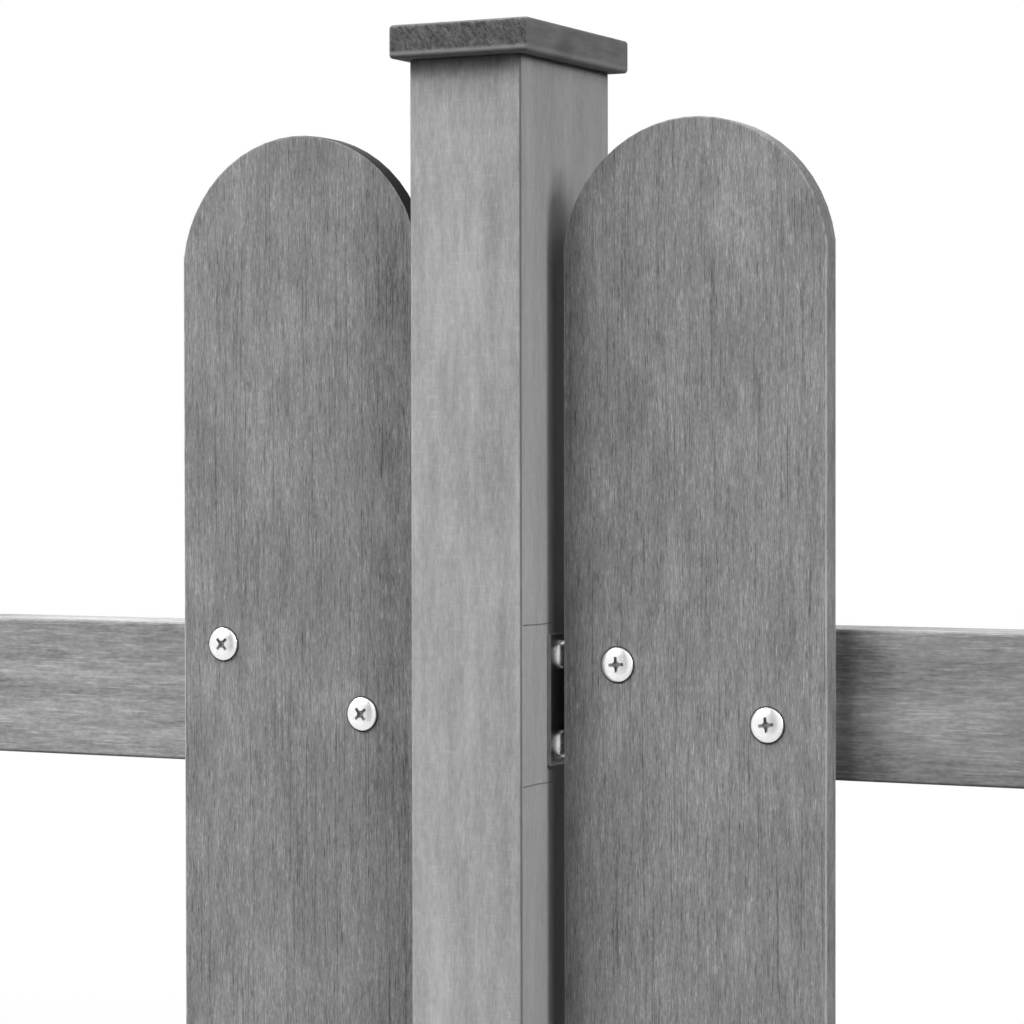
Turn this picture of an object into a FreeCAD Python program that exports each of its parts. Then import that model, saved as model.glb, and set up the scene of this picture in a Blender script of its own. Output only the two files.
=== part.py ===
import FreeCAD, Part
import os

# A run of picket fence, in millimetres: two bays of round-topped pickets on two rails each,
# hung between three capped posts. +X runs along the fence, +Y to its back and +Z up.
# The origin is the middle of the middle post's foot, at ground level.

# Layout along the fence
post_spacing = 1700.0         # from one post's centre line to the next
pickets_per_bay = 9
picket_to_post = 6.5          # open slot between a post and the picket beside it

# Posts
post_width = 40.0
post_depth = 65.0
post_height = 821.2
post_edge_radius = 1.0        # also round the top, which leaves a groove under the cap

# Caps, flat boards on the posts' tops
cap_thickness = 10.8
cap_overhang = 5.0
cap_edge_radius = 1.3

# Pickets
picket_width = 90.0
picket_thickness = 8.0
picket_tip_drop = 20.7        # from a post's top down to a picket's tip
picket_foot_height = 40.0     # from the ground up to a picket's foot
picket_arch_rise = 39.5       # height of the round top above its shoulders
picket_setback = 17.0         # from a post's front face back to a picket's front face
picket_edge_radius = 0.6

# Rails, behind the pickets
rail_height = 47.0
rail_depth = 24.0
rail_edge_radius = 1.0
rail_to_post = 6.5            # end gap that leaves room for the bracket and its screw heads
upper_rail_drop = 160.0       # from a picket's tip down to the upper rail's top
lower_rail_clearance = 150.0  # from the ground up to the lower rail's underside
left_rail_drop = 3.0          # how much lower the left bay's rails hang than the right bay's

# Brackets, bent from strip, one leg on a post's side and one on a rail's back
bracket_thickness = 1.5
bracket_height = 42.0
bracket_drop = 1.2            # from a rail's middle height down to a bracket's
bracket_post_leg = 32.6
bracket_rail_leg = 40.0
bracket_bend_radius = 1.0     # inside the bend
bracket_hole_diameter = 5.2
bracket_hole_spacing = 28.8   # from the upper hole of a leg to the lower one
bracket_hole_inset = 6.8      # from a leg's free edge to its holes

# Places that several pieces share
picket_tip = post_height - picket_tip_drop
picket_front = picket_setback - post_depth / 2
picket_back = picket_front + picket_thickness
rail_back = picket_back + rail_depth
upper_rail_top = picket_tip - upper_rail_drop
lower_rail_top = lower_rail_clearance + rail_height

X = FreeCAD.Vector(1, 0, 0)
Y = FreeCAD.Vector(0, 1, 0)
Z = FreeCAD.Vector(0, 0, 1)


def block(low, high):
    """A box between two opposite corners."""
    size = FreeCAD.Vector(*high) - FreeCAD.Vector(*low)
    return Part.makeBox(size.x, size.y, size.z, FreeCAD.Vector(*low))


def edges_along(solid, direction):
    """The solid's straight edges that run along a direction."""
    straight = [edge for edge in solid.Edges if isinstance(edge.Curve, Part.Line)]
    return [edge for edge in straight if edge.Curve.Direction.cross(direction).Length < 1e-6]


def post(centre_x):
    """A post with softened corners and a softened top rim, standing on the ground."""
    half_width = post_width / 2
    half_depth = post_depth / 2
    solid = block((centre_x - half_width, -half_depth, 0),
                  (centre_x + half_width, half_depth, post_height))
    top_rim = [edge for edge in solid.Edges if edge.BoundBox.ZMin > post_height - 1e-6]
    return solid.makeFillet(post_edge_radius, edges_along(solid, Z) + top_rim)


def cap(centre_x):
    """A flat cap that overhangs its post on all four sides."""
    half_width = post_width / 2 + cap_overhang
    half_depth = post_depth / 2 + cap_overhang
    solid = block((centre_x - half_width, -half_depth, post_height),
                  (centre_x + half_width, half_depth, post_height + cap_thickness))
    return solid.makeFillet(cap_edge_radius, solid.Edges)


def rail(left_x, right_x, top_z):
    """A rail with softened long edges, its front against the pickets' backs."""
    solid = block((left_x, picket_back, top_z - rail_height), (right_x, rail_back, top_z))
    return solid.makeFillet(rail_edge_radius, edges_along(solid, X))


def picket(centre_x):
    """An upright board whose top is an arc a little flatter than a half circle."""
    half_width = picket_width / 2
    shoulder = picket_tip - picket_arch_rise
    foot_left = FreeCAD.Vector(centre_x - half_width, picket_front, picket_foot_height)
    foot_right = FreeCAD.Vector(centre_x + half_width, picket_front, picket_foot_height)
    shoulder_right = FreeCAD.Vector(centre_x + half_width, picket_front, shoulder)
    shoulder_left = FreeCAD.Vector(centre_x - half_width, picket_front, shoulder)
    tip = FreeCAD.Vector(centre_x, picket_front, picket_tip)
    outline = Part.Wire([
        Part.makeLine(foot_left, foot_right),
        Part.makeLine(foot_right, shoulder_right),
        Part.Arc(shoulder_right, tip, shoulder_left).toShape(),
        Part.makeLine(shoulder_left, foot_left),
    ])
    solid = Part.Face(outline).extrude(Y * picket_thickness)
    rims = [edge for edge in solid.Edges if edge.BoundBox.YLength < 1e-6]
    return solid.makeFillet(picket_edge_radius, rims)


def bracket(post_face_x, side, middle_z):
    """A bracket on a post's side face, for a rail that runs off to that side (+1 right, -1 left)."""
    bend_back = rail_back + bracket_thickness
    low_z = middle_z - bracket_height / 2
    high_z = middle_z + bracket_height / 2
    near_x = post_face_x
    inner_x = post_face_x + side * bracket_thickness
    far_x = post_face_x + side * bracket_rail_leg
    post_leg = block((min(near_x, inner_x), bend_back - bracket_post_leg, low_z),
                     (max(near_x, inner_x), bend_back, high_z))
    rail_leg = block((min(near_x, far_x), rail_back, low_z), (max(near_x, far_x), bend_back, high_z))
    solid = post_leg.fuse(rail_leg).removeSplitter()
    inside = edges_at(solid, inner_x, rail_back)
    solid = solid.makeFillet(bracket_bend_radius, inside)
    outside = edges_at(solid, near_x, bend_back)
    solid = solid.makeFillet(bracket_bend_radius + bracket_thickness, outside)
    for hole_z in (middle_z - bracket_hole_spacing / 2, middle_z + bracket_hole_spacing / 2):
        hole_y = bend_back - bracket_post_leg + bracket_hole_inset
        hole_x = far_x - side * bracket_hole_inset
        start = FreeCAD.Vector(near_x - side * bracket_thickness, hole_y, hole_z)
        solid = solid.cut(drill(start, X * side))
        start = FreeCAD.Vector(hole_x, bend_back + bracket_thickness, hole_z)
        solid = solid.cut(drill(start, -Y))
    return solid


def edges_at(solid, x, y):
    """The solid's upright edges that stand at x, y."""
    upright = edges_along(solid, Z)
    return [edge for edge in upright
            if abs(edge.CenterOfMass.x - x) < 1e-6 and abs(edge.CenterOfMass.y - y) < 1e-6]


def drill(start, direction):
    """A drill as long as three strip thicknesses, which clears one leg of a bracket."""
    return Part.makeCylinder(bracket_hole_diameter / 2, 3 * bracket_thickness, start, direction)


def bay(name, left_post_x, rail_drop):
    """A bay's pickets, rails and brackets, by node name."""
    left_face = left_post_x + post_width / 2
    right_face = left_post_x + post_spacing - post_width / 2
    first_picket = left_face + picket_to_post + picket_width / 2
    last_picket = right_face - picket_to_post - picket_width / 2
    pitch = (last_picket - first_picket) / (pickets_per_bay - 1)
    nodes = {}
    for number in range(pickets_per_bay):
        nodes[f"{name}_picket_{number + 1:02d}"] = picket(first_picket + number * pitch)
    for level, top in (("upper", upper_rail_top), ("lower", lower_rail_top)):
        top_z = top - rail_drop
        bracket_z = top_z - rail_height / 2 - bracket_drop
        nodes[f"{name}_{level}_rail"] = rail(left_face + rail_to_post, right_face - rail_to_post, top_z)
        nodes[f"{name}_{level}_bracket_1"] = bracket(left_face, 1, bracket_z)
        nodes[f"{name}_{level}_bracket_2"] = bracket(right_face, -1, bracket_z)
    return nodes


def fence():
    """Every piece of the run, by node name."""
    nodes = {}
    for name, centre_x in (("left", -post_spacing), ("middle", 0.0), ("right", post_spacing)):
        nodes[f"{name}_post"] = post(centre_x)
        nodes[f"{name}_cap"] = cap(centre_x)
    nodes.update(bay("left", -post_spacing, left_rail_drop))
    nodes.update(bay("right", 0.0, 0.0))
    return nodes


os.makedirs("parts", exist_ok=True)
for node, shape in fence().items():
    shape.exportStep(f"parts/{node}.step")
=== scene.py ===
"""Looks of a run of picket fence: brushed composite boards, plated screws and a pale studio."""

import logging
import math
import random
from dataclasses import dataclass, replace
from enum import Enum

import bpy
from mathutils import Matrix, Vector


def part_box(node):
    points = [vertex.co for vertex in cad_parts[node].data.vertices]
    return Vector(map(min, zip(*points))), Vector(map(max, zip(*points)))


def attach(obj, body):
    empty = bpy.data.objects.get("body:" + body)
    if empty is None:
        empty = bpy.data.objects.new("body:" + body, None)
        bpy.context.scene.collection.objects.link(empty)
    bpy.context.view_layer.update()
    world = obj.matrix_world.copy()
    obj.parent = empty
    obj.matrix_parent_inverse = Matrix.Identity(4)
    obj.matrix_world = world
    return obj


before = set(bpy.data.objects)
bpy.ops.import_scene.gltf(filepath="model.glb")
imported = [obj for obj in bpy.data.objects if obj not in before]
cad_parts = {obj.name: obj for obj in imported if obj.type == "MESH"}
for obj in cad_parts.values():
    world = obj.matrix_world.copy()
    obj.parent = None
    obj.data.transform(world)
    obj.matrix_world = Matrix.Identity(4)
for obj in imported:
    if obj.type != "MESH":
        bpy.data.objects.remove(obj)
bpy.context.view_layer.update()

MM = 0.001
LOG = logging.getLogger("fence")


class Fibre(Enum):
    """The way a board's fibres run, as the row axis they follow."""

    ALONG_X = 0
    ALONG_Y = 1
    ALONG_Z = 2


class Facing(Enum):
    """The way a screw's head looks, out of the face that it sits on."""

    FRONT = (0.0, -1.0, 0.0)
    BACK = (0.0, 1.0, 0.0)
    RIGHT = (1.0, 0.0, 0.0)
    LEFT = (-1.0, 0.0, 0.0)


def linear(hex_colour: str) -> tuple[float, float, float, float]:
    """Turns an sRGB colour into a linear one.

    Args:
        hex_colour: The colour as six hex digits after a hash mark.

    Returns:
        Red, green, blue and an alpha of one, as the shaders take them.
    """
    parts = [int(hex_colour[i:i + 2], 16) / 255 for i in (1, 3, 5)]
    curve = [p / 12.92 if p <= 0.04045 else ((p + 0.055) / 1.055) ** 2.4 for p in parts]
    return (*curve, 1.0)


def add_node(tree: bpy.types.NodeTree, kind: str, settings: dict | None = None,
             links: dict | None = None) -> bpy.types.Node:
    """Adds a node with its settings, values and links.

    Args:
        tree: The node tree that gets the node.
        kind: The node's type name.
        settings: Attribute name to value.
        links: Input socket, by name or number, to a value or to the output that feeds it.

    Returns:
        The new node.
    """
    node = tree.nodes.new(kind)
    for name, value in (settings or {}).items():
        setattr(node, name, value)
    for socket, value in (links or {}).items():
        if isinstance(value, bpy.types.NodeSocket):
            tree.links.new(value, node.inputs[socket])
        else:
            node.inputs[socket].default_value = value
    return node


def fresh_material(name: str) -> tuple[bpy.types.Material, bpy.types.NodeTree, bpy.types.Node]:
    """Makes an empty material with a Principled shader on its output.

    Args:
        name: What the material is called.

    Returns:
        The material, its node tree and the shader node.
    """
    material = bpy.data.materials.new(name)
    material.use_nodes = True
    tree = material.node_tree
    tree.nodes.clear()
    shader = add_node(tree, "ShaderNodeBsdfPrincipled")
    add_node(tree, "ShaderNodeOutputMaterial", links={"Surface": shader.outputs[0]})
    return material, tree, shader


def colour_ramp(ramp: bpy.types.Node, dark: str, light: str, middle: str | None = None) -> None:
    """Gives a ramp its colours, from dark at the start to light at the end.

    Args:
        ramp: The ramp's node.
        dark: The colour at the start.
        light: The colour at the end.
        middle: The colour half way, if it has one.
    """
    stops = ramp.color_ramp.elements
    stops[0].color = linear(dark)
    stops[1].color = linear(light)
    if middle:
        stops.new(0.5).color = linear(middle)


@dataclass(frozen=True)
class Streaks:
    """One layer of brush marks: how wide and long they are, and how strongly they show."""

    across_mm: float
    along_mm: float
    weight: float
    start: float = 0.30
    full: float = 0.70
    below: float = -1.0
    detail: float = 1.5

    def build(self, tree: bpy.types.NodeTree, coords: bpy.types.NodeSocket, fibre: Fibre,
              shift: float) -> bpy.types.NodeSocket:
        """Adds the layer's nodes.

        Args:
            tree: The material's node tree.
            coords: The object coordinates.
            fibre: The way the marks run.
            shift: Moves the pattern, so that two layers of one size differ.

        Returns:
            The socket with the layer's share of the tone, around zero.
        """
        scale = [1 / (self.across_mm * MM)] * 3
        scale[fibre.value] = 1 / (self.along_mm * MM)
        mapping = add_node(tree, "ShaderNodeMapping", links={
            "Vector": coords, "Scale": scale, "Location": (shift, shift * 0.7, shift * 1.3)})
        noise = add_node(tree, "ShaderNodeTexNoise", links={
            "Vector": mapping.outputs[0], "Scale": 1.0, "Detail": self.detail, "Roughness": 0.5})
        level = add_node(tree, "ShaderNodeMapRange", {"clamp": True}, {
            "Value": noise.outputs[0], "From Min": self.start, "From Max": self.full,
            "To Min": self.below * self.weight, "To Max": self.weight})
        return level.outputs[0]


def total(tree: bpy.types.NodeTree, sockets: list[bpy.types.NodeSocket]) -> bpy.types.NodeSocket:
    """Adds sockets up.

    Args:
        tree: The node tree that they are in.
        sockets: The values to add, at least one.

    Returns:
        The socket with the sum.
    """
    result = sockets[0]
    for socket in sockets[1:]:
        result = add_node(tree, "ShaderNodeMath", {"operation": "ADD"},
                          {0: result, 1: socket}).outputs[0]
    return result


@dataclass(frozen=True)
class Shade:
    """Painted shade: a slow change of a board's tone between two places. It stands in for the darker
    bands that the photograph shows and the studio's lamps don't give, and it stays under any light."""

    none: float
    full: float
    amount: float
    axis: int = 2

    def build(self, tree: bpy.types.NodeTree, coords: bpy.types.NodeSocket) -> bpy.types.NodeSocket:
        """Adds the shade's nodes.

        Args:
            tree: The material's node tree.
            coords: The object coordinates.

        Returns:
            The socket with the shade's share of the tone.
        """
        place = add_node(tree, "ShaderNodeSeparateXYZ", links={0: coords})
        level = add_node(tree, "ShaderNodeMapRange", {"interpolation_type": "SMOOTHSTEP"}, {
            "Value": place.outputs[self.axis], "From Min": self.none, "From Max": self.full,
            "To Max": self.amount})
        return level.outputs[0]


@dataclass(frozen=True)
class PicketShade:
    """Painted shade: a soft dark strip on a rail's front, right of each picket. It stands in for the
    picket's shadow, which is wider in the photograph, and it stays under any light."""

    first_edge: float
    pitch: float
    full: float = 9.5 * MM
    none: float = 24.0 * MM
    amount: float = -0.30

    def build(self, tree: bpy.types.NodeTree, coords: bpy.types.NodeSocket,
              normal: bpy.types.Node) -> bpy.types.NodeSocket:
        """Adds the strips' nodes.

        Args:
            tree: The material's node tree.
            coords: The object coordinates.
            normal: The node with the surface normal's parts.

        Returns:
            The socket with the strips' share of the tone.
        """
        place = add_node(tree, "ShaderNodeSeparateXYZ", links={0: coords})
        beyond = add_node(tree, "ShaderNodeMath", {"operation": "SUBTRACT"}, {
            0: place.outputs[0], 1: self.first_edge})
        beside = add_node(tree, "ShaderNodeMath", {"operation": "WRAP"}, {
            0: beyond.outputs[0], 1: self.pitch, 2: 0.0})
        strip = add_node(tree, "ShaderNodeMapRange", {"interpolation_type": "SMOOTHSTEP"}, {
            "Value": beside.outputs[0], "From Min": self.none, "From Max": self.full,
            "To Max": self.amount})
        front = add_node(tree, "ShaderNodeMapRange", links={
            "Value": normal.outputs[1], "From Min": -0.4, "From Max": -0.8})
        both = add_node(tree, "ShaderNodeMath", {"operation": "MULTIPLY"}, {
            0: strip.outputs[0], 1: front.outputs[0]})
        return both.outputs[0]


@dataclass(frozen=True)
class BrushedBoard:
    """Wood-plastic composite, extruded and wire-brushed: matt grey with fine streaks of lighter and
    darker fibre along the board."""

    name: str
    dark: str
    middle: str
    light: str
    fibre: Fibre
    layers: tuple[Streaks, ...]
    roughness: float = 0.72
    roughness_swing: float = 0.08
    groove_mm: float = 0.05
    stain_mm: float = 1.0
    # Painted highlight on the rounded upright edges where arris is above zero, painted shade where it is
    # below.
    arris: float = 0.0
    arris_start: float = 0.10
    side_share: float = 1.0
    sheen: float = 0.10
    shade: Shade | None = None
    picket_shade: PicketShade | None = None
    # Painted light: how much paler the faces that look up are made.
    top_painted_light: float = 0.0
    # Painted shade: a dark colour for a round top's narrow faces, if the board has it.
    sawn: str | None = None

    def make(self) -> bpy.types.Material:
        """Builds the material.

        Returns:
            The board's material.
        """
        material, tree, shader = fresh_material(self.name)
        texture = add_node(tree, "ShaderNodeTexCoord")
        coords = texture.outputs["Object"]
        normal = add_node(tree, "ShaderNodeSeparateXYZ", links={0: texture.outputs["Normal"]})
        marks = [layer.build(tree, coords, self.fibre, 3.7 * number)
                 for number, layer in enumerate(self.layers)]
        share = self._brushing(tree, normal)
        # Painted light and shade on the tone: the rounded edges, the shade bands, the strips beside the
        # pickets and the paler tops.
        painted_light = [self._painted_edge_arris(tree, normal)]
        if self.shade:
            painted_light.append(self.shade.build(tree, coords))
        if self.picket_shade:
            painted_light.append(self.picket_shade.build(tree, coords, normal))
        # Painted light: faces that look up are made paler.
        if self.top_painted_light:
            top = add_node(tree, "ShaderNodeMapRange", links={
                "Value": normal.outputs[2], "From Min": 0.4, "From Max": 0.8, "To Max": self.top_painted_light})
            painted_light.append(top.outputs[0])
        brushed = add_node(tree, "ShaderNodeMath", {"operation": "MULTIPLY_ADD"}, {
            0: total(tree, marks), 1: share, 2: total(tree, painted_light)})
        tone = add_node(tree, "ShaderNodeMath", {"operation": "ADD", "use_clamp": True},
                        {0: brushed.outputs[0], 1: 0.5})
        ramp = add_node(tree, "ShaderNodeValToRGB", links={0: tone.outputs[0]})
        colour_ramp(ramp, self.dark, self.light, self.middle)
        colour = ramp.outputs[0]
        # Painted shade: the round top's narrow faces take the dark colour.
        if self.sawn:
            colour = add_node(tree, "ShaderNodeMix", {"data_type": "RGBA"}, {
                0: self._shaded_round_top(tree, normal), 6: colour, 7: linear(self.sawn)}).outputs[2]
        tree.links.new(colour, shader.inputs["Base Color"])
        rough = add_node(tree, "ShaderNodeMapRange", links={
            "Value": tone.outputs[0],
            "To Min": self.roughness + self.roughness_swing,
            "To Max": self.roughness - self.roughness_swing})
        tree.links.new(rough.outputs[0], shader.inputs["Roughness"])
        # Only the fine marks are grooves that catch the light; the wide ones are stains.
        fine = [mark for mark, layer in zip(marks, self.layers) if layer.across_mm < self.stain_mm]
        depth = add_node(tree, "ShaderNodeMath", {"operation": "MULTIPLY"}, {0: total(tree, fine), 1: share})
        groove = add_node(tree, "ShaderNodeBump", links={
            "Height": depth.outputs[0], "Strength": 0.6, "Distance": self.groove_mm * MM})
        tree.links.new(groove.outputs[0], shader.inputs["Normal"])
        shader.inputs["Specular IOR Level"].default_value = self.sheen
        return material

    def _brushing(self, tree: bpy.types.NodeTree, normal: bpy.types.Node) -> bpy.types.NodeSocket:
        """Finds how strongly the marks show, which is less on the faces that look along the fence.

        Args:
            tree: The material's node tree.
            normal: The node with the surface normal's parts.

        Returns:
            The socket with the share of the marks.
        """
        along = add_node(tree, "ShaderNodeMath", {"operation": "ABSOLUTE"}, {0: normal.outputs[0]})
        share = add_node(tree, "ShaderNodeMapRange", links={
            "Value": along.outputs[0], "From Min": 0.5, "From Max": 0.9,
            "To Min": 1.0, "To Max": self.side_share})
        return share.outputs[0]

    @staticmethod
    def _shaded_round_top(tree: bpy.types.NodeTree, normal: bpy.types.Node) -> bpy.types.NodeSocket:
        """Finds the narrow faces of a round top, which get painted shade.

        Args:
            tree: The material's node tree.
            normal: The node with the surface normal's parts.

        Returns:
            The socket with the core's share of the colour.
        """
        up = add_node(tree, "ShaderNodeMapRange", links={
            "Value": normal.outputs[2], "From Min": 0.05, "From Max": 0.20})
        depth = add_node(tree, "ShaderNodeMath", {"operation": "ABSOLUTE"}, {0: normal.outputs[1]})
        narrow = add_node(tree, "ShaderNodeMapRange", links={
            "Value": depth.outputs[0], "From Min": 0.80, "From Max": 0.50})
        both = add_node(tree, "ShaderNodeMath", {"operation": "MULTIPLY"}, {
            0: up.outputs[0], 1: narrow.outputs[0]})
        return both.outputs[0]

    def _painted_edge_arris(self, tree: bpy.types.NodeTree, normal: bpy.types.Node) -> bpy.types.NodeSocket:
        """Finds the rounded upright edges, which get a painted highlight where the amount is above zero and
        painted shade where it is below.

        Args:
            tree: The material's node tree.
            normal: The node with the surface normal's parts.

        Returns:
            The socket with the edges' share of the tone.
        """
        both = add_node(tree, "ShaderNodeMath", {"operation": "MULTIPLY"}, {
            0: normal.outputs[0], 1: normal.outputs[1]})
        size = add_node(tree, "ShaderNodeMath", {"operation": "ABSOLUTE"}, {0: both.outputs[0]})
        edge = add_node(tree, "ShaderNodeMapRange", links={
            "Value": size.outputs[0], "From Min": self.arris_start, "From Max": self.arris_start + 0.15,
            "To Max": self.arris})
        upright = add_node(tree, "ShaderNodeMapRange", links={
            "Value": normal.outputs[2], "From Min": 0.20, "From Max": 0.05})
        painted_edge = add_node(tree, "ShaderNodeMath", {"operation": "MULTIPLY"}, {
            0: edge.outputs[0], 1: upright.outputs[0]})
        return painted_edge.outputs[0]


@dataclass(frozen=True)
class SawnCap:
    """Wood-plastic composite, sawn to length: dark and smooth along its long sides, torn into small
    slanting pits where the saw went across the fibres, on its front and back ends, and paler along
    the lower edges, where the board keeps its skin. Faces that look down get painted shade."""

    foot: float
    name: str = "sawn_composite_cap"
    dark: str = "#363636"
    middle: str = "#5C5C5C"
    light: str = "#868686"
    pit_mm: float = 1.0
    pit_length_mm: float = 3.0
    pit_slant: float = 0.6
    pit_depth_mm: float = 0.25
    skin_mm: float = 1.9
    skin_lift: float = 0.24
    side_lift: float = 0.25
    middle_tone: float = 0.50
    # Painted shade: the tone on faces that look down, below middle_tone.
    down_shade_tone: float = 0.42

    def make(self) -> bpy.types.Material:
        """Builds the material.

        Returns:
            The cap's material.
        """
        material, tree, shader = fresh_material(self.name)
        texture = add_node(tree, "ShaderNodeTexCoord")
        coords = texture.outputs["Object"]
        plain = [layer.build(tree, coords, Fibre.ALONG_Y, 5.1 * number) for number, layer in enumerate((
            Streaks(0.8, 9.0, 0.05), Streaks(3.5, 14.0, 0.10), Streaks(12.0, 16.0, 0.12)))]
        smooth_tone = add_node(tree, "ShaderNodeMath", {"operation": "ADD"}, {
            0: total(tree, plain), 1: self.side_lift}).outputs[0]
        slanted = add_node(tree, "ShaderNodeMapping", links={
            "Vector": coords, "Rotation": (0, self.pit_slant, 0)}).outputs[0]
        pitted = [layer.build(tree, slanted, Fibre.ALONG_Z, 2.3 * number) for number, layer in enumerate((
            Streaks(self.pit_mm, self.pit_length_mm, 0.17), Streaks(0.4, 0.6, 0.12),
            Streaks(5.0, 7.0, 0.05), Streaks(self.pit_mm, 1.6, -0.28, 0.54, 0.62, 0.0),
            Streaks(0.7, 1.9, 0.16, 0.60, 0.70, 0.0)))]
        torn_tone = total(tree, pitted)
        facing = add_node(tree, "ShaderNodeSeparateXYZ", links={0: texture.outputs["Normal"]})
        size = add_node(tree, "ShaderNodeMath", {"operation": "ABSOLUTE"}, {0: facing.outputs[1]})
        is_end = add_node(tree, "ShaderNodeMapRange", links={
            "Value": size.outputs[0], "From Min": 0.8, "From Max": 0.95})
        height = add_node(tree, "ShaderNodeSeparateXYZ", links={0: coords})
        skin = add_node(tree, "ShaderNodeMapRange", {"interpolation_type": "SMOOTHSTEP"}, {
            "Value": height.outputs[2], "From Min": self.foot + 1.4 * self.skin_mm * MM,
            "From Max": self.foot + 0.7 * self.skin_mm * MM})
        torn = add_node(tree, "ShaderNodeMath", {"operation": "SUBTRACT", "use_clamp": True},
                        {0: is_end.outputs[0], 1: skin.outputs[0]})
        tone = add_node(tree, "ShaderNodeMix", {"data_type": "FLOAT"}, {
            0: torn.outputs[0], 2: smooth_tone, 3: torn_tone})
        paler = add_node(tree, "ShaderNodeMath", {"operation": "MULTIPLY_ADD"}, {
            0: skin.outputs[0], 1: self.skin_lift, 2: tone.outputs[0]})
        # Painted shade: faces that look down are made darker.
        down_shade = add_node(tree, "ShaderNodeMapRange", links={
            "Value": facing.outputs[2], "From Min": -0.45, "From Max": -0.85,
            "To Min": self.middle_tone, "To Max": self.down_shade_tone})
        level = add_node(tree, "ShaderNodeMath", {"operation": "ADD", "use_clamp": True},
                         {0: paler.outputs[0], 1: down_shade.outputs[0]})
        ramp = add_node(tree, "ShaderNodeValToRGB", links={0: level.outputs[0]})
        colour_ramp(ramp, self.dark, self.light, self.middle)
        tree.links.new(ramp.outputs[0], shader.inputs["Base Color"])
        bump = add_node(tree, "ShaderNodeBump", links={
            "Height": level.outputs[0], "Strength": 0.8, "Distance": self.pit_depth_mm * MM})
        tree.links.new(bump.outputs[0], shader.inputs["Normal"])
        shader.inputs["Roughness"].default_value = 0.78
        shader.inputs["Specular IOR Level"].default_value = 0.2
        return material


@dataclass(frozen=True)
class PlatedSteel:
    """Plated steel: nickel on the screws, bright and smooth, or zinc on the brackets, dull and cloudy."""

    name: str
    colour: str
    roughness: float
    cloud_mm: float
    cloud_depth: float

    def make(self) -> bpy.types.Material:
        """Builds the material.

        Returns:
            The metal's material.
        """
        material, tree, shader = fresh_material(self.name)
        coords = add_node(tree, "ShaderNodeTexCoord").outputs["Object"]
        cloud = add_node(tree, "ShaderNodeTexNoise", links={
            "Vector": coords, "Scale": 1 / (self.cloud_mm * MM), "Detail": 3.0})
        dull = add_node(tree, "ShaderNodeMapRange", links={
            "Value": cloud.outputs[0], "From Min": 0.3, "From Max": 0.7,
            "To Min": self.roughness - self.cloud_depth, "To Max": self.roughness + self.cloud_depth})
        tree.links.new(dull.outputs[0], shader.inputs["Roughness"])
        tint = add_node(tree, "ShaderNodeMix", {"data_type": "RGBA", "blend_type": "MULTIPLY"}, {
            0: self.cloud_depth, 6: linear(self.colour), 7: cloud.outputs[1]})
        tree.links.new(tint.outputs[2], shader.inputs["Base Color"])
        shader.inputs["Metallic"].default_value = 1.0
        return material


@dataclass(frozen=True)
class ScrewShadowRing:
    """Painted shadow: a dark line round a screw head, laid on the board."""

    name: str = "painted_screw_shadow"
    dark: str = "#2C2C2C"
    pale: str = "#565656"
    grain_mm: float = 0.8

    def make(self) -> bpy.types.Material:
        """Builds the material.

        Returns:
            The painted shadow's material.
        """
        material, tree, shader = fresh_material(self.name)
        coords = add_node(tree, "ShaderNodeTexCoord").outputs["Object"]
        grain = add_node(tree, "ShaderNodeTexNoise", links={
            "Vector": coords, "Scale": 1 / (self.grain_mm * MM), "Detail": 2.0})
        ramp = add_node(tree, "ShaderNodeValToRGB", links={0: grain.outputs[0]})
        colour_ramp(ramp, self.dark, self.pale)
        tree.links.new(ramp.outputs[0], shader.inputs["Base Color"])
        shader.inputs["Roughness"].default_value = 0.9
        return material


@dataclass(frozen=True)
class PencilMark:
    """Soft pencil on composite: a thin dark line that breaks up on the fibres."""

    name: str = "pencil_mark"
    dark: str = "#5A5A5A"
    faint: str = "#8A8A8A"
    break_mm: float = 2.5

    def make(self) -> bpy.types.Material:
        """Builds the material.

        Returns:
            The mark's material.
        """
        material, tree, shader = fresh_material(self.name)
        coords = add_node(tree, "ShaderNodeTexCoord").outputs["Object"]
        press = add_node(tree, "ShaderNodeTexNoise", links={
            "Vector": coords, "Scale": 1 / (self.break_mm * MM), "Detail": 2.0})
        ramp = add_node(tree, "ShaderNodeValToRGB", links={0: press.outputs[0]})
        colour_ramp(ramp, self.dark, self.faint)
        tree.links.new(ramp.outputs[0], shader.inputs["Base Color"])
        shader.inputs["Roughness"].default_value = 0.6
        return material


PICKET_STREAKS = (
    Streaks(0.36, 4.0, 0.135),
    Streaks(0.40, 1.3, 0.08),
    Streaks(1.3, 12.0, 0.07),
    Streaks(5.0, 22.0, 0.05),
    Streaks(28.0, 40.0, 0.06),
    Streaks(0.40, 7.0, -0.28, 0.62, 0.70, 0.0),
    Streaks(0.50, 50.0, -0.20, 0.61, 0.70, 0.0),
    Streaks(0.38, 4.0, 0.24, 0.63, 0.72, 0.0),
)
POST_STREAKS = (
    Streaks(0.65, 2.8, 0.095),
    Streaks(1.8, 9.0, 0.09),
    Streaks(6.0, 60.0, 0.10),
    Streaks(16.0, 300.0, 0.085),
    Streaks(30.0, 60.0, 0.05),
    Streaks(0.6, 6.0, 0.11, 0.60, 0.72, 0.0),
    Streaks(7.0, 0.7, 0.10, 0.56, 0.74, 0.0),
)
RAIL_STREAKS = (
    Streaks(0.60, 2.4, 0.08),
    Streaks(1.4, 9.0, 0.10),
    Streaks(1.5, 2.0, 0.05),
    Streaks(6.0, 70.0, 0.14),
    Streaks(0.45, 9.0, -0.16, 0.60, 0.70, 0.0),
    Streaks(0.55, 14.0, 0.24, 0.60, 0.72, 0.0),
)


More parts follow.
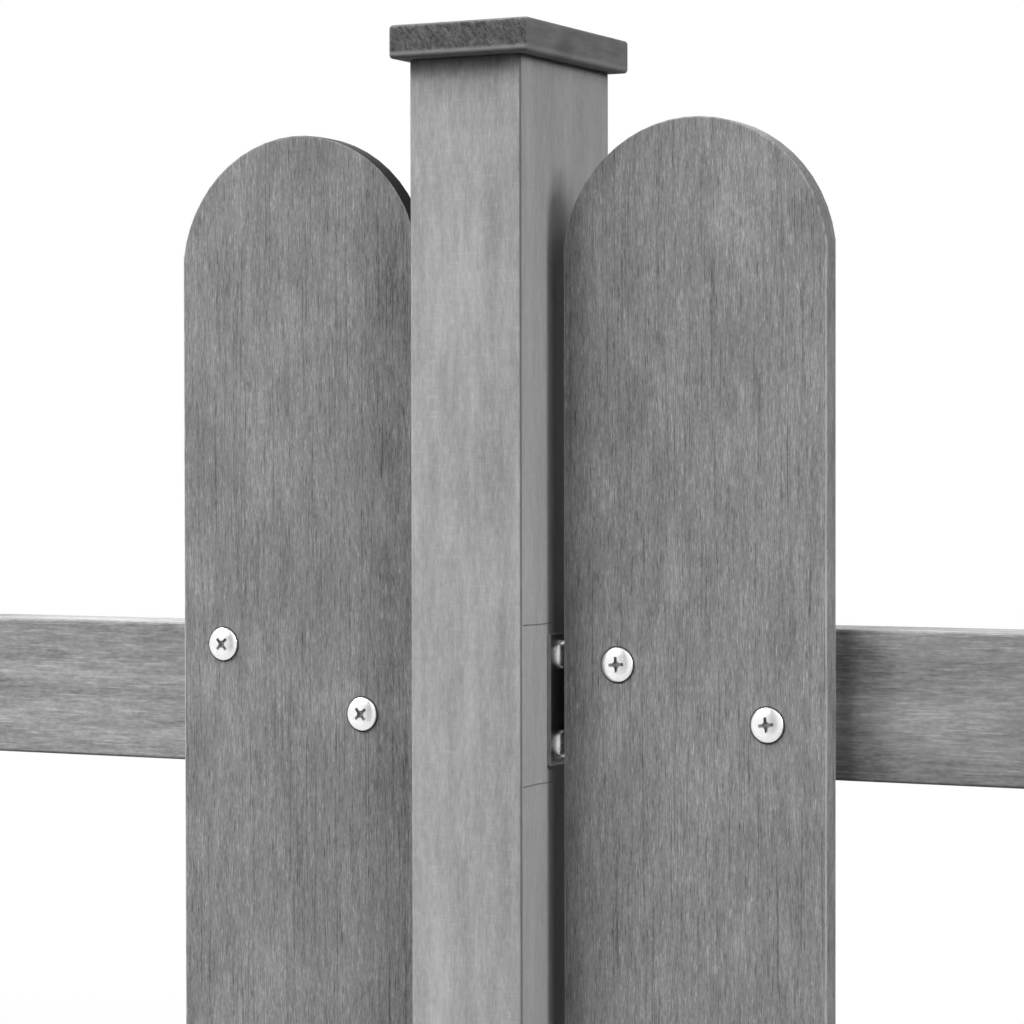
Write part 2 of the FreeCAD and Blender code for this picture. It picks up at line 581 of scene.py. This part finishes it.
class Finishes:
    """Every finish of the fence, made once."""

    def __init__(self) -> None:
        """Makes the materials."""
        post_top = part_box("middle_post")[1].z
        # The post's rounded upright edges get painted shade, and so does a strip of it under the cap.
        self.post = BrushedBoard("brushed_composite_post", "#7C7C7C", "#AAAAAA", "#D0D0D0",
                                 Fibre.ALONG_Z, POST_STREAKS, arris=-0.60, arris_start=0.32,
                                 side_share=0.55,
                                 shade=Shade(post_top - 34 * MM, post_top, -0.08)).make()
        self.pickets = {}
        self.last_pickets = {}
        # The left bay's pickets get painted shade on their round tops' narrow faces and the right bay's
        # don't; all pickets get a painted highlight on their rounded upright edges.
        for side, sawn in (("left", "#2A2A2A"), ("right", None)):
            plain = BrushedBoard(f"brushed_composite_{side}_picket", "#525252", "#919191", "#CACACA",
                                 Fibre.ALONG_Z, PICKET_STREAKS, arris=0.40, sawn=sawn)
            self.pickets[side] = plain.make()
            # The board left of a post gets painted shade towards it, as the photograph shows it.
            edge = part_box(f"{side}_picket_09")[1].x
            self.last_pickets[side] = replace(
                plain, name=f"brushed_composite_{side}_picket_by_post",
                shade=Shade(edge - 28 * MM, edge - 6 * MM, -0.20, axis=0)).make()
        self.rails = {}
        # The rails' tops are made paler by painted light, more on the right bay's rails.
        for side, dark, middle, light, top_painted_light in (("left", "#5E5E5E", "#9F9F9F", "#D6D6D6", 0.03),
                                                    ("right", "#5C5C5C", "#919191", "#BEBEBE", 0.09)):
            first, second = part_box(f"{side}_picket_01"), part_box(f"{side}_picket_02")
            picket_shade = PicketShade(first[1].x, second[0].x - first[0].x)
            for level in ("upper", "lower"):
                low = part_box(f"{side}_{level}_rail")[0].z
                self.rails[side, level] = BrushedBoard(
                    f"brushed_composite_{side}_{level}_rail", dark, middle, light, Fibre.ALONG_X,
                    RAIL_STREAKS, sheen=0.5, shade=Shade(low + 14 * MM, low, -0.12),
                    picket_shade=picket_shade, top_painted_light=top_painted_light).make()
        self.cap = SawnCap(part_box("middle_cap")[0].z).make()
        self.screw = PlatedSteel("nickel_plated_screw", "#F6F6F6", 0.24, 2.0, 0.05).make()
        self.bracket_screw = PlatedSteel("zinc_plated_screw", "#D2D2D4", 0.30, 2.0, 0.06).make()
        # Painted shade: the cross recess is a darker grey than the screw's nickel.
        self.recess = PlatedSteel("shaded_recess", "#8E8E8E", 0.50, 1.0, 0.14).make()
        # Painted shadow: a dark ring round each picket screw's head.
        self.screw_shadow = ScrewShadowRing().make()
        self.bracket = PlatedSteel("zinc_plated_bracket", "#98989A", 0.42, 4.0, 0.10).make()
        self.pencil = PencilMark().make()


def paint(piece: bpy.types.Object, material: bpy.types.Material) -> None:
    """Gives a piece one material.

    Args:
        piece: The piece.
        material: Its finish.
    """
    if not piece.material_slots:
        piece.data.materials.append(material)
    for slot in piece.material_slots:
        slot.material = material


def only(*pieces: bpy.types.Object) -> None:
    """Selects these pieces alone and makes the first one active.

    Args:
        pieces: The pieces to select.
    """
    bpy.ops.object.select_all(action="DESELECT")
    for piece in pieces:
        piece.select_set(True)
    bpy.context.view_layer.objects.active = pieces[0]


def select_faces(piece: bpy.types.Object, normal: tuple[float, float, float]) -> None:
    """Leaves edit mode, selects the faces that look one way, and returns to edit mode.

    Args:
        piece: The piece in edit mode.
        normal: The way the faces look.
    """
    bpy.ops.mesh.select_all(action="DESELECT")
    bpy.ops.object.mode_set(mode="OBJECT")
    for face in piece.data.polygons:
        face.select = face.normal.dot(Vector(normal)) > 0.99
    bpy.ops.object.mode_set(mode="EDIT")


@dataclass
class ScrewStyle:
    """A pan-head screw with a cross recess; only the head shows."""

    head_diameter: float = 11.1 * MM
    rim_height: float = 0.35 * MM
    head_height: float = 1.5 * MM
    rim_faces: int = 40
    dome_rings: int = 6
    dome_sweep: float = 78.0
    smooth_below: float = 38.0
    recess_span: float = 6.2 * MM
    recess_width: float = 1.80 * MM
    recess_tip: float = 0.62
    recess_depth: float = 1.1 * MM
    recess_floor: tuple[float, float] = (0.45, 0.70)
    recess_core: float = 1.45 * MM
    core_faces: int = 12
    core_point: float = 0.3
    core_deeper: float = 1.1
    cutter_proud: float = 0.3 * MM
    # The dark ring round the head is painted shadow: its width beyond the head and its height.
    shadow_ring_width: float = 0.42 * MM
    shadow_ring_height: float = 0.06 * MM

    def make(self, name: str, metal: bpy.types.Material, finishes: Finishes) -> bpy.types.Object:
        """Models the head, seated on the ground plane and facing up.

        Args:
            name: The pattern piece's name.
            metal: The head's finish.
            finishes: Every finish of the fence.

        Returns:
            The pattern that screws are copied from.
        """
        head = self._dome(name)
        paint(head, metal)
        cutters = [self._wing(0.0), self._wing(math.pi / 2), self._core()]
        for cutter in cutters:
            # The recess's faces take the darker recess colour: painted shade.
            paint(cutter, finishes.recess)
            self._cut(head, cutter)
        only(head)
        bpy.ops.object.shade_smooth_by_angle(angle=math.radians(self.smooth_below))
        # Painted shadow: the dark ring round the head.
        if self.shadow_ring_width:
            rim = self._shadow_ring()
            paint(rim, finishes.screw_shadow)
            only(head, rim)
            bpy.ops.object.join()
        return head

    def _shadow_ring(self) -> bpy.types.Object:
        """Lays the thin dark ring round the head, a painted shadow.

        Returns:
            The rim.
        """
        bpy.ops.object.select_all(action="DESELECT")
        bpy.ops.mesh.primitive_cylinder_add(
            vertices=self.rim_faces, radius=self.head_diameter / 2 + self.shadow_ring_width,
            depth=self.shadow_ring_height, location=(0, 0, self.shadow_ring_height / 2))
        rim = bpy.context.object
        only(rim)
        bpy.ops.object.transform_apply(location=True, rotation=True, scale=True)
        return rim

    def _dome(self, name: str) -> bpy.types.Object:
        """Raises a rim into a dome, ring by ring.

        Args:
            name: The piece's name.

        Returns:
            The head before its recess is cut.
        """
        bpy.ops.object.select_all(action="DESELECT")
        bpy.ops.mesh.primitive_cylinder_add(
            vertices=self.rim_faces, radius=self.head_diameter / 2, depth=self.rim_height,
            location=(0, 0, self.rim_height / 2))
        head = bpy.context.object
        head.name = name
        only(head)
        bpy.ops.object.transform_apply(location=True, rotation=True, scale=True)
        bpy.ops.object.mode_set(mode="EDIT")
        select_faces(head, (0, 0, 1))
        rise = self.head_height - self.rim_height
        before = 0.0
        for ring in range(self.dome_rings):
            angle = math.radians(self.dome_sweep * (ring + 1) / self.dome_rings)
            bpy.ops.mesh.extrude_region_move(TRANSFORM_OT_translate={
                "value": (0, 0, rise * (math.sin(angle) - math.sin(before)))})
            narrower = math.cos(angle) / math.cos(before)
            bpy.ops.transform.resize(value=(narrower, narrower, 1), center_override=(0, 0, 0))
            before = angle
        bpy.ops.object.mode_set(mode="OBJECT")
        return head

    def _wing(self, turn: float) -> bpy.types.Object:
        """Shapes one tapered wing of the cross recess, narrower at its ends and its floor.

        Args:
            turn: The wing's turn about the screw, in radians.

        Returns:
            The cutter.
        """
        height = self.recess_depth + self.cutter_proud
        bpy.ops.object.select_all(action="DESELECT")
        bpy.ops.mesh.primitive_cube_add(
            size=1, location=(0, 0, self.head_height + self.cutter_proud - height / 2),
            scale=(self.recess_span, self.recess_width, height))
        wing = bpy.context.object
        only(wing)
        bpy.ops.object.transform_apply(location=True, rotation=True, scale=True)
        bpy.ops.object.mode_set(mode="EDIT")
        for end in (-1, 1):
            select_faces(wing, (end, 0, 0))
            bpy.ops.transform.resize(value=(1, self.recess_tip, 1), center_override=(0, 0, 0))
        select_faces(wing, (0, 0, -1))
        bpy.ops.transform.resize(value=(*self.recess_floor, 1), center_override=(0, 0, 0))
        bpy.ops.object.mode_set(mode="OBJECT")
        wing.rotation_euler = (0, 0, turn)
        bpy.ops.object.transform_apply(location=True, rotation=True, scale=True)
        return wing

    def _core(self) -> bpy.types.Object:
        """Shapes the recess's tapered middle.

        Returns:
            The cutter.
        """
        height = self.recess_depth * self.core_deeper + self.cutter_proud
        bpy.ops.object.select_all(action="DESELECT")
        bpy.ops.mesh.primitive_cone_add(
            vertices=self.core_faces, radius1=self.recess_core * self.core_point,
            radius2=self.recess_core, depth=height,
            location=(0, 0, self.head_height + self.cutter_proud - height / 2))
        core = bpy.context.object
        only(core)
        bpy.ops.object.transform_apply(location=True, rotation=True, scale=True)
        return core

    @staticmethod
    def _cut(head: bpy.types.Object, cutter: bpy.types.Object) -> None:
        """Takes a cutter out of the head.

        Args:
            head: The screw head.
            cutter: The shape to take away, which is then deleted.
        """
        cut = head.modifiers.new("recess", "BOOLEAN")
        cut.operation = "DIFFERENCE"
        cut.solver = "EXACT"
        cut.material_mode = "TRANSFER"
        cut.object = cutter
        only(head)
        bpy.ops.object.modifier_apply(modifier=cut.name)
        bpy.data.objects.remove(cutter)


@dataclass(frozen=True)
class ScrewPlace:
    """Where one screw sits: the middle of its seat, the way it looks and its turn."""

    seat: Vector
    facing: Facing
    turn: float


def drive_screws(pattern: bpy.types.Object, name: str, places: list[ScrewPlace]) -> None:
    """Copies a screw to each place and joins the copies into one piece, their places in its mesh.

    Args:
        pattern: The screw that is copied.
        name: The new piece's name.
        places: Where the screws go.
    """
    copies = []
    for place in places:
        only(pattern)
        bpy.ops.object.duplicate(linked=False)
        screw = bpy.context.object
        out = Vector(place.facing.value).to_track_quat("Z", "Y").to_matrix().to_4x4()
        screw.matrix_world = Matrix.Translation(place.seat) @ out @ Matrix.Rotation(place.turn, 4, "Z")
        copies.append(screw)
    only(*copies)
    bpy.ops.object.transform_apply(location=True, rotation=True, scale=True)
    bpy.ops.object.join()
    joined = bpy.context.object
    joined.name = name
    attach(joined, "root")


@dataclass
class Posts:
    """The posts, their caps and the pencil marks that set out the rails."""

    finishes: Finishes
    names: tuple[str, ...] = ("left", "middle", "right")
    mark_height: float = 0.45 * MM
    mark_proud: float = 0.04 * MM
    mark_start: float = 1.0 * MM
    mark_end: float = 21.0 * MM
    mark_cuts: int = 9
    waver: float = 0.10 * MM
    waver_bends: float = 7.0
    waver_shift: float = 40.0
    below_rail: float = 4.1 * MM

    def dress(self) -> None:
        """Paints the posts and caps."""
        for name in self.names:
            paint(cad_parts[f"{name}_post"], self.finishes.post)
            paint(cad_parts[f"{name}_cap"], self.finishes.cap)
            LOG.info("dressed %s post and cap", name)

    def mark(self, post: str, rail: str, side: int) -> None:
        """Draws the two lines that show where a rail's bracket goes, on one side of a post.

        Args:
            post: The post's node.
            rail: The rail's node.
            side: +1 for the post's right side and -1 for its left one.
        """
        low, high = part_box(post)
        rail_low, rail_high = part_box(rail)
        face_x = high.x if side > 0 else low.x
        lines = [self._line(face_x, side, low.y + self.mark_start, z)
                 for z in (rail_high.z, rail_low.z - self.below_rail)]
        only(*lines)
        bpy.ops.object.join()
        marks = bpy.context.object
        marks.name = f"{post}_{'right' if side > 0 else 'left'}_{rail.split('_')[1]}_marks"
        paint(marks, self.finishes.pencil)
        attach(marks, "root")
        LOG.info("drew %s", marks.name)

    def _line(self, face_x: float, side: int, start_y: float, z: float) -> bpy.types.Object:
        """Draws one line across a post's side, a little uneven as a hand draws it.

        Args:
            face_x: The side face's place along the fence.
            side: The way the face looks.
            start_y: Where the line starts, near the post's front corner.
            z: The line's height.

        Returns:
            The line.
        """
        length = self.mark_end - self.mark_start
        bpy.ops.object.select_all(action="DESELECT")
        bpy.ops.mesh.primitive_cube_add(
            size=1, location=(face_x + side * self.mark_proud / 2, start_y + length / 2, z),
            scale=(self.mark_proud, length, self.mark_height))
        line = bpy.context.object
        only(line)
        bpy.ops.object.transform_apply(location=True, rotation=True, scale=True)
        bpy.ops.object.mode_set(mode="EDIT")
        bpy.ops.mesh.select_all(action="DESELECT")
        bpy.ops.object.mode_set(mode="OBJECT")
        for edge in line.data.edges:
            ends = [line.data.vertices[v].co.y for v in edge.vertices]
            edge.select = abs(ends[0] - ends[1]) > length / 2
        bpy.ops.object.mode_set(mode="EDIT")
        bpy.ops.mesh.subdivide(number_cuts=self.mark_cuts)
        bpy.ops.object.mode_set(mode="OBJECT")
        for vertex in line.data.vertices:
            along = (vertex.co.y - start_y) / length
            vertex.co.z += self.waver * math.sin(self.waver_bends * along + self.waver_shift * z)
        return line


@dataclass
class Bay:
    """One bay: pickets on an upper and a lower rail, with a bracket at each end of both rails."""

    side: str
    finishes: Finishes
    screw: bpy.types.Object
    bracket_screw: bpy.types.Object
    seed: int
    near_picket: int
    near_places: tuple[tuple[float, float, float], ...]
    pickets: int = 9
    high_left_mm: tuple[tuple[float, float], ...] = ((15.5, 19.0), (7.0, 12.5))
    low_right_mm: tuple[tuple[float, float], ...] = ((68.5, 71.0), (28.0, 31.0))
    hole_inset: float = 6.8 * MM
    hole_spacing: float = 28.8 * MM
    bracket_thickness: float = 1.5 * MM

    def build(self) -> None:
        """Paints the bay's boards and brackets and drives its screws."""
        chance = random.Random(self.seed)
        for number in range(1, self.pickets + 1):
            boards = self.finishes.last_pickets if number == self.pickets else self.finishes.pickets
            paint(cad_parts[f"{self.side}_picket_{number:02d}"], boards[self.side])
        for level in ("upper", "lower"):
            paint(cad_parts[f"{self.side}_{level}_rail"], self.finishes.rails[self.side, level])
            for end in (1, 2):
                paint(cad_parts[f"{self.side}_{level}_bracket_{end}"], self.finishes.bracket)
            drive_screws(self.screw, f"{self.side}_{level}_picket_screws",
                         self._picket_places(level, chance))
            drive_screws(self.bracket_screw, f"{self.side}_{level}_bracket_screws",
                         self._bracket_places(level, chance))
            LOG.info("dressed the %s bay's %s rail", self.side, level)

    def _picket_places(self, level: str, chance: random.Random) -> list[ScrewPlace]:
        """Two screws through each picket into a rail, one high on the left and one low on the right.

        Args:
            level: upper or lower.
            chance: The bay's own random draws.

        Returns:
            The screws' places.
        """
        rail_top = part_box(f"{self.side}_{level}_rail")[1].z
        places = []
        for number in range(1, self.pickets + 1):
            low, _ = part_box(f"{self.side}_picket_{number:02d}")
            drawn = [(chance.uniform(*across), chance.uniform(*down), chance.uniform(0, 90))
                     for across, down in (self.high_left_mm, self.low_right_mm)]
            if level == "upper" and number == self.near_picket:
                drawn = self.near_places
            places += [ScrewPlace(Vector((low.x + across * MM, low.y, rail_top - down * MM)),
                                  Facing.FRONT, math.radians(turn)) for across, down, turn in drawn]
        return places

    def _bracket_places(self, level: str, chance: random.Random) -> list[ScrewPlace]:
        """Two screws through each leg of both brackets on a rail.

        Args:
            level: upper or lower.
            chance: The bay's own random draws.

        Returns:
            The screws' places.
        """
        places = []
        for end, side in ((1, 1), (2, -1)):
            low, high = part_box(f"{self.side}_{level}_bracket_{end}")
            post_face = (low.x if side > 0 else high.x) + side * self.bracket_thickness
            free_edge = high.x if side > 0 else low.x
            middle = (low.z + high.z) / 2
            for z in (middle - self.hole_spacing / 2, middle + self.hole_spacing / 2):
                places.append(ScrewPlace(Vector((post_face, low.y + self.hole_inset, z)),
                                         Facing.RIGHT if side > 0 else Facing.LEFT,
                                         chance.uniform(0, math.pi / 2)))
                places.append(ScrewPlace(Vector((free_edge - side * self.hole_inset, high.y, z)),
                                         Facing.BACK, chance.uniform(0, math.pi / 2)))
        return places


@dataclass(frozen=True)
class SoftBox:
    """A large studio lamp that looks at the fence from a direction."""

    name: str
    azimuth: float
    elevation: float
    distance: float
    width: float
    height: float
    watts: float

    def light(self, target: Vector) -> None:
        """Puts the lamp up.

        Args:
            target: The point it looks at.
        """
        azimuth, elevation = math.radians(self.azimuth), math.radians(self.elevation)
        away = Vector((math.sin(azimuth) * math.cos(elevation),
                       -math.cos(azimuth) * math.cos(elevation), math.sin(elevation)))
        bpy.ops.object.light_add(type="AREA", location=target + away * self.distance)
        lamp = bpy.context.object
        lamp.name = self.name
        lamp.rotation_euler = away.to_track_quat("Z", "Y").to_euler()
        lamp.data.shape = "RECTANGLE"
        lamp.data.size = self.width
        lamp.data.size_y = self.height
        lamp.data.energy = self.watts
        lamp.visible_camera = False


@dataclass
class Studio:
    """A pale floor, soft light and the camera."""

    target: Vector
    camera_from_post: Vector
    yaw: float = 0.46974
    pitch: float = -0.01828
    roll: float = -0.0016
    focal_pixels: float = 3391.1
    image_pixels: float = 1024.0
    sensor_mm: float = 36.0
    floor_size: float = 120.0
    near_floor: float = 1.3
    far_floor: float = 2.9
    floor_squash: float = 0.5
    floor_near_colour: str = "#C4C4C4"
    floor_bounce_colour: str = "#505050"
    fill: float = 0.017
    gap_x: float = -0.16
    gap_half_width: float = 0.10
    gap_edge: float = 0.16
    gap_strength: float = 0.50

    def build(self) -> None:
        """Sets up the floor, the lamps, the world and the camera."""
        for box in (
            SoftBox("key", -62, 46, 7.0, 5.4, 3.0, 795),
            SoftBox("front", -34, 28, 7.0, 3.0, 2.4, 99),
            SoftBox("right", 61, 40, 7.0, 2.8, 3.0, 119),
            SoftBox("side", 79, 24, 7.0, 1.7, 2.2, 207),
            SoftBox("back", -150, 22, 7.0, 4.2, 2.6, 190),
        ):
            box.light(self.target)
        self._floor()
        self._world()
        self._camera()
        bpy.context.scene.view_settings.view_transform = "Standard"

    def _floor(self) -> None:
        """Lays a pale floor that keeps the fence's shadow near it and is white further out."""
        bpy.ops.object.select_all(action="DESELECT")
        bpy.ops.mesh.primitive_plane_add(size=self.floor_size)
        floor = bpy.context.object
        floor.name = "floor"
        material, tree, shader = fresh_material("pale_floor")
        output = next(node for node in tree.nodes if node.type == "OUTPUT_MATERIAL")
        tree.nodes.remove(shader)
        coords = add_node(tree, "ShaderNodeTexCoord").outputs["Object"]
        place = add_node(tree, "ShaderNodeSeparateXYZ", links={0: coords})
        along = add_node(tree, "ShaderNodeMath", {"operation": "MULTIPLY"}, {
            0: place.outputs[0], 1: self.floor_squash})
        spot = add_node(tree, "ShaderNodeCombineXYZ", links={0: along.outputs[0], 1: place.outputs[1]})
        reach = add_node(tree, "ShaderNodeVectorMath", {"operation": "LENGTH"}, {0: spot.outputs[0]})
        fade = add_node(tree, "ShaderNodeMapRange", {"interpolation_type": "SMOOTHSTEP"}, {
            "Value": reach.outputs["Value"], "From Min": self.near_floor, "From Max": self.far_floor})
        near = add_node(tree, "ShaderNodeBsdfDiffuse", links={"Color": linear(self.floor_near_colour)})
        path = add_node(tree, "ShaderNodeLightPath")
        from_fence = add_node(tree, "ShaderNodeVectorMath", {"operation": "SUBTRACT"}, {
            0: coords, 1: self.target})
        way = add_node(tree, "ShaderNodeVectorMath", {"operation": "NORMALIZE"}, {0: from_fence.outputs[0]})
        strength = add_node(tree, "ShaderNodeMath", {"operation": "MAXIMUM"}, {
            0: self._room_level(tree, way.outputs[0]), 1: path.outputs["Is Camera Ray"]})
        white = add_node(tree, "ShaderNodeEmission", links={
            "Color": linear("#FFFFFF"), "Strength": strength.outputs[0]})
        seen = add_node(tree, "ShaderNodeMixShader", links={
            0: fade.outputs[0], 1: near.outputs[0], 2: white.outputs[0]})
        dim = add_node(tree, "ShaderNodeBsdfDiffuse", links={"Color": linear(self.floor_bounce_colour)})
        direct = add_node(tree, "ShaderNodeMath", {"operation": "MAXIMUM"}, {
            0: path.outputs["Is Camera Ray"], 1: path.outputs["Is Glossy Ray"]})
        shown = add_node(tree, "ShaderNodeMath", {"operation": "MAXIMUM"}, {
            0: direct.outputs[0], 1: path.outputs["Is Transmission Ray"]})
        mixed = add_node(tree, "ShaderNodeMixShader", links={
            0: shown.outputs[0], 1: dim.outputs[0], 2: seen.outputs[0]})
        tree.links.new(mixed.outputs[0], output.inputs["Surface"])
        paint(floor, material)

    def _room_level(self, tree: bpy.types.NodeTree,
                    direction: bpy.types.NodeSocket) -> bpy.types.NodeSocket:
        """Finds how bright the room is one way: white, but for the upright gap in front of the fence.

        Args:
            tree: The node tree that gets the nodes.
            direction: The way out from the fence, as a unit vector.

        Returns:
            The socket with the brightness.
        """
        way = add_node(tree, "ShaderNodeSeparateXYZ", links={0: direction})
        beside = add_node(tree, "ShaderNodeMath", {"operation": "SUBTRACT"}, {
            0: way.outputs[0], 1: self.gap_x})
        off = add_node(tree, "ShaderNodeMath", {"operation": "ABSOLUTE"}, {0: beside.outputs[0]})
        inside = add_node(tree, "ShaderNodeMapRange", {"interpolation_type": "SMOOTHSTEP"}, {
            "Value": off.outputs[0], "From Min": self.gap_half_width,
            "From Max": self.gap_half_width + self.gap_edge, "To Min": 1.0, "To Max": 0.0})
        in_front = add_node(tree, "ShaderNodeMapRange", links={
            "Value": way.outputs[1], "From Min": -0.2, "From Max": -0.6})
        gap = add_node(tree, "ShaderNodeMath", {"operation": "MULTIPLY"}, {
            0: inside.outputs[0], 1: in_front.outputs[0]})
        level = add_node(tree, "ShaderNodeMapRange", links={
            "Value": gap.outputs[0], "To Min": 1.0, "To Max": self.gap_strength})
        return level.outputs[0]

    def _world(self) -> None:
        """Fills the room: white where it is seen or mirrored, but for a grey upright gap in front of the
        fence that the screws mirror, and dim as a light."""
        world = bpy.data.worlds.new("studio")
        bpy.context.scene.world = world
        world.use_nodes = True
        tree = world.node_tree
        tree.nodes.clear()
        path = add_node(tree, "ShaderNodeLightPath")
        mirrored = add_node(tree, "ShaderNodeMath", {"operation": "MAXIMUM"}, {
            0: path.outputs["Is Glossy Ray"], 1: path.outputs["Is Transmission Ray"]})
        level = self._room_level(tree, add_node(tree, "ShaderNodeTexCoord").outputs["Generated"])
        fill = add_node(tree, "ShaderNodeBackground", links={
            "Color": linear("#FFFFFF"), "Strength": self.fill})
        room = add_node(tree, "ShaderNodeBackground", links={
            "Color": linear("#FFFFFF"), "Strength": level})
        white = add_node(tree, "ShaderNodeBackground", links={"Color": linear("#FFFFFF"), "Strength": 1.0})
        lit = add_node(tree, "ShaderNodeMixShader", links={
            0: mirrored.outputs[0], 1: fill.outputs[0], 2: room.outputs[0]})
        mixed = add_node(tree, "ShaderNodeMixShader", links={
            0: path.outputs["Is Camera Ray"], 1: lit.outputs[0], 2: white.outputs[0]})
        add_node(tree, "ShaderNodeOutputWorld", links={"Surface": mixed.outputs[0]})

    def _camera(self) -> None:
        """Stands the camera where the photograph was taken from."""
        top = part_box("middle_cap")[1].z
        ahead = Vector((-math.sin(self.yaw) * math.cos(self.pitch),
                        math.cos(self.yaw) * math.cos(self.pitch), math.sin(self.pitch)))
        right = Vector((math.cos(self.yaw), math.sin(self.yaw), 0))
        up = right.cross(ahead)
        turned_right = right * math.cos(self.roll) + up * math.sin(self.roll)
        turned_up = up * math.cos(self.roll) - right * math.sin(self.roll)
        bpy.ops.object.camera_add(location=self.camera_from_post + Vector((0, 0, top)))
        camera = bpy.context.object
        camera.name = "camera"
        columns = Matrix((turned_right, turned_up, -ahead)).transposed()
        camera.rotation_euler = columns.to_euler()
        camera.data.sensor_width = self.sensor_mm
        camera.data.lens = self.focal_pixels / self.image_pixels * self.sensor_mm
        bpy.context.scene.camera = camera


def main() -> None:
    """Dresses the fence and sets up the studio."""
    logging.basicConfig(level=logging.INFO, format="%(message)s")
    finishes = Finishes()
    posts = Posts(finishes)
    posts.dress()
    screw = ScrewStyle().make("picket_screw", finishes.screw, finishes)
    bracket_screw = ScrewStyle(head_diameter=9.4 * MM, head_height=3.8 * MM, shadow_ring_width=0).make(
        "bracket_screw", finishes.bracket_screw, finishes)
    left = Bay("left", finishes, screw, bracket_screw, seed=11, near_picket=9,
               near_places=((15.6, 6.5, 45), (69.1, 28.3, 42)))
    right = Bay("right", finishes, screw, bracket_screw, seed=23, near_picket=1,
                near_places=((19.0, 12.5, 4), (70.3, 29.9, 7)))
    left.build()
    right.build()
    for level in ("upper", "lower"):
        posts.mark("left_post", f"left_{level}_rail", 1)
        posts.mark("middle_post", f"left_{level}_rail", -1)
        posts.mark("middle_post", f"right_{level}_rail", 1)
        posts.mark("right_post", f"right_{level}_rail", -1)
    bpy.data.objects.remove(screw)
    bpy.data.objects.remove(bracket_screw)
    Studio(target=Vector((0, 0, 0.6)), camera_from_post=Vector((0.50195, -0.98843, -0.13589))).build()


if __name__ == "__main__":
    main()
